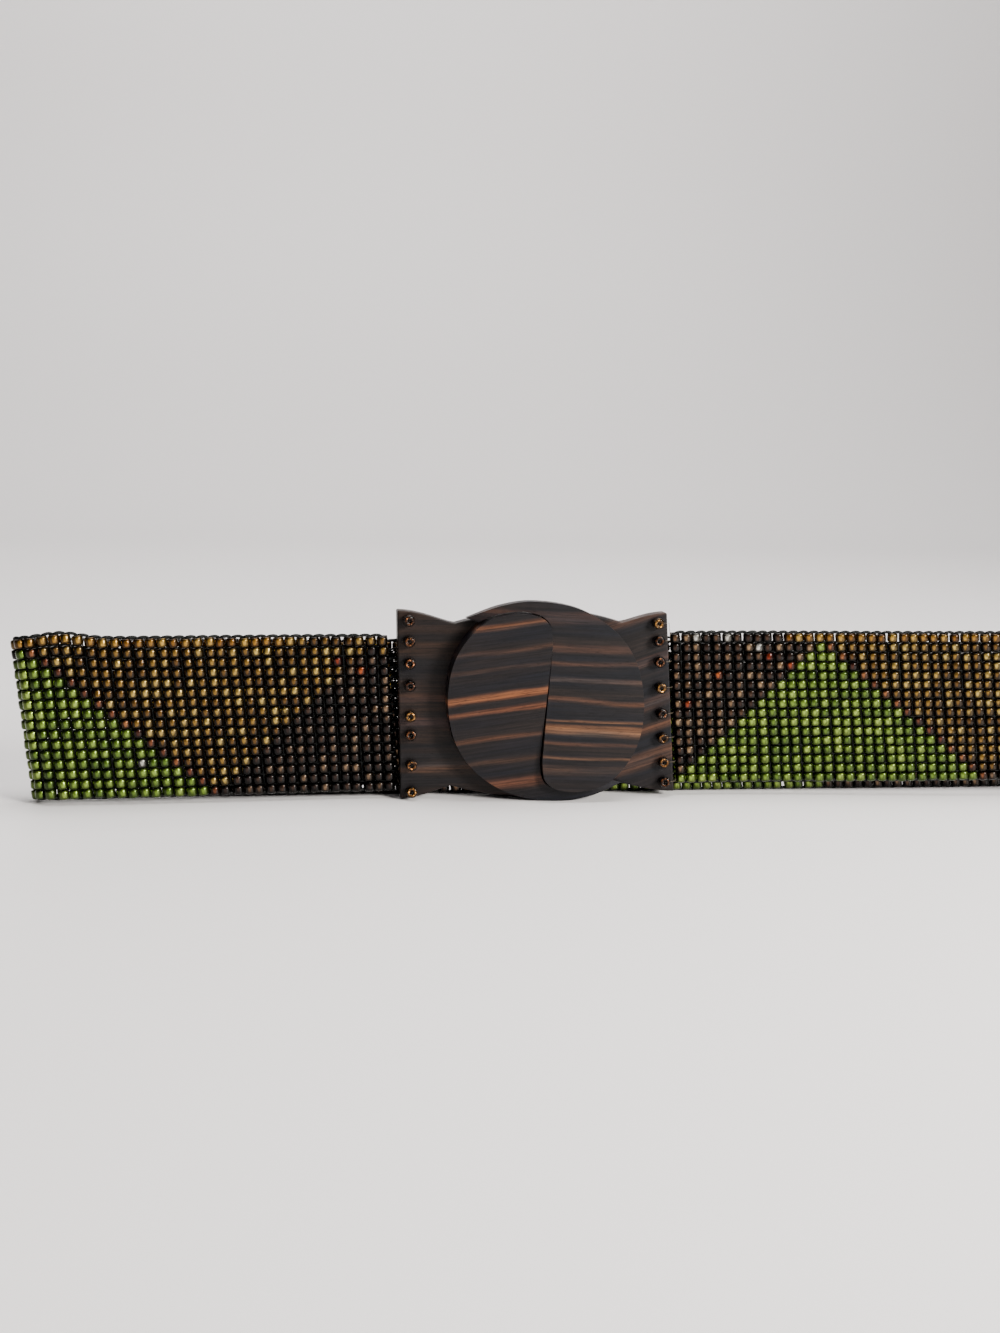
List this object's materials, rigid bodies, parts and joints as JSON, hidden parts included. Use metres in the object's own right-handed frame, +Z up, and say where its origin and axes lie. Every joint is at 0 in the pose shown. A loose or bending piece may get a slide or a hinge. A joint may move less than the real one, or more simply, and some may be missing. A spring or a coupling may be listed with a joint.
{
  "type": "beaded belt",
  "caption": "Woven glass-bead belt band laced to the two interlocking striped-wood halves of a round buckle, fastened, folded flat and standing on its long edge",
  "frame": {"origin": "middle of the footprint of the folded belt, on the surface that its long edge stands on", "axes": "+X along the folded belt towards the right of its front view, -Y the way the buckle faces, +Z up across the band's width"},
  "size_m": [0.344, 0.0179, 0.0647],
  "materials": {
    "glass_beads": "silver-lined glass, glossy, closed surface of round beads",
    "striped_wood": "near-black wood with brown and tan stripes, satin oil finish",
    "peg_wood": "plain",
    "thread": "dark waxed thread",
    "amber_glass": "glossy amber and brown glass"
  },
  "bodies": {
    "root": {"beaded_band": "glass_beads", "left_plate": "striped_wood", "right_plate": "striped_wood", "left_head": "striped_wood", "right_head": "striped_wood", "hook_peg": "peg_wood", "left_lacing": "thread", "right_lacing": "thread", "left_stud_bead_1": "amber_glass", "left_stud_bead_2": "amber_glass", "left_stud_bead_3": "amber_glass", "left_stud_bead_4": "amber_glass", "left_stud_bead_5": "amber_glass", "left_stud_bead_6": "amber_glass", "left_stud_bead_7": "amber_glass", "left_stud_bead_8": "amber_glass", "right_stud_bead_1": "amber_glass", "right_stud_bead_2": "amber_glass", "right_stud_bead_3": "amber_glass", "right_stud_bead_4": "amber_glass", "right_stud_bead_5": "amber_glass", "right_stud_bead_6": "amber_glass", "right_stud_bead_7": "amber_glass", "right_stud_bead_8": "amber_glass"}
  },
  "joints": []
}
